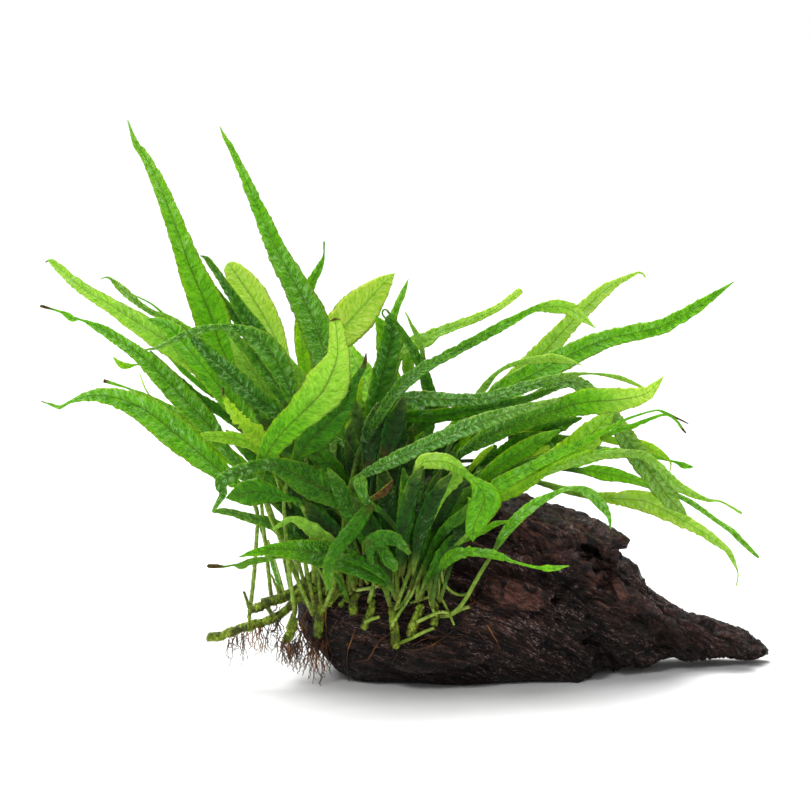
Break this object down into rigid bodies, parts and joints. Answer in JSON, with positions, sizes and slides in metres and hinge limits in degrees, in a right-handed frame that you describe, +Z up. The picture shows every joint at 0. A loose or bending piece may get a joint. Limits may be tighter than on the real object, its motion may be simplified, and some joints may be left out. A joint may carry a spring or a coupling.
{
  "type": "java fern on driftwood",
  "caption": "Aquarium fern with long lance-shaped fronds on creeping rhizomes, grown on a low dark lump of driftwood that rests flat.",
  "frame": {"origin": "on the wood's flat underside, below the wood's crest", "axes": "+X along the wood towards its tapering tail, +Y away from the viewer of the front, +Z up"},
  "size_m": [0.3104, 0.1645, 0.2335],
  "materials": {
    "driftwood": "dark, wet, grained",
    "rhizome": "mossy green, matte",
    "frond_bright": "bright green, satin",
    "frond_deep": "dark green, wet sheen",
    "frond_lime": "lime green, satin",
    "frond_mid": "green, wet sheen",
    "frond_pale": "pale green, satin",
    "frond_silver": "grey-green, glossy with wet sheen"
  },
  "bodies": {
    "root": {"driftwood": "driftwood", "rhizome_left": "rhizome", "rhizome_left_upright": "rhizome", "rhizome_front_forked": "rhizome", "rhizome_front_short": "rhizome", "rhizome_front_slim": "rhizome", "rhizome_front_long": "rhizome", "rhizome_front_right": "rhizome", "rhizome_right_end": "rhizome", "rhizome_crest": "rhizome", "rhizome_back": "rhizome", "frond_tall_left": "frond_mid", "frond_tall_right": "frond_mid", "frond_left_high": "frond_mid", "frond_left_broad": "frond_mid", "frond_left_wavy": "frond_mid", "frond_left_slender": "frond_silver", "frond_left_arching": "frond_mid", "frond_left_silver_arch": "frond_silver", "frond_left_brown_tip": "frond_mid", "frond_left_hooked": "frond_bright", "frond_left_folded": "frond_silver", "frond_left_leaflet": "frond_mid", "frond_left_jagged": "frond_lime", "frond_back_lime": "frond_lime", "frond_back_slim": "frond_deep", "frond_spoon_tip": "frond_mid", "frond_lime_veined": "frond_lime", "frond_front_pale": "frond_pale", "frond_front_dark": "frond_deep", "frond_left_streaked": "frond_deep", "frond_upright_slim": "frond_mid", "frond_upright_broad": "frond_deep", "frond_curled_tip": "frond_deep", "frond_right_bow": "frond_mid", "frond_right_blunt": "frond_pale", "frond_right_pale_arc": "frond_pale", "frond_right_rising": "frond_bright", "frond_right_long": "frond_mid", "frond_right_level": "frond_silver", "frond_right_drooping": "frond_silver", "frond_right_broad": "frond_lime", "frond_right_slanting": "frond_silver", "frond_right_spade_tip": "frond_mid", "frond_right_fold_over": "frond_lime", "frond_right_ribbed": "frond_mid", "frond_right_lime_droop": "frond_lime", "frond_over_wood": "frond_mid", "frond_right_curled": "frond_pale", "frond_right_low_slim": "frond_deep", "frond_front_hanging": "frond_pale", "frond_front_tongue": "frond_bright", "frond_low_left_bright": "frond_mid", "frond_low_left_dry_tip": "frond_deep", "frond_left_ragged": "frond_deep", "frond_back_left": "frond_mid", "frond_back_upright": "frond_bright", "frond_back_middle": "frond_deep", "frond_back_right": "frond_mid", "frond_back_far_left": "frond_deep"}
  },
  "joints": []
}
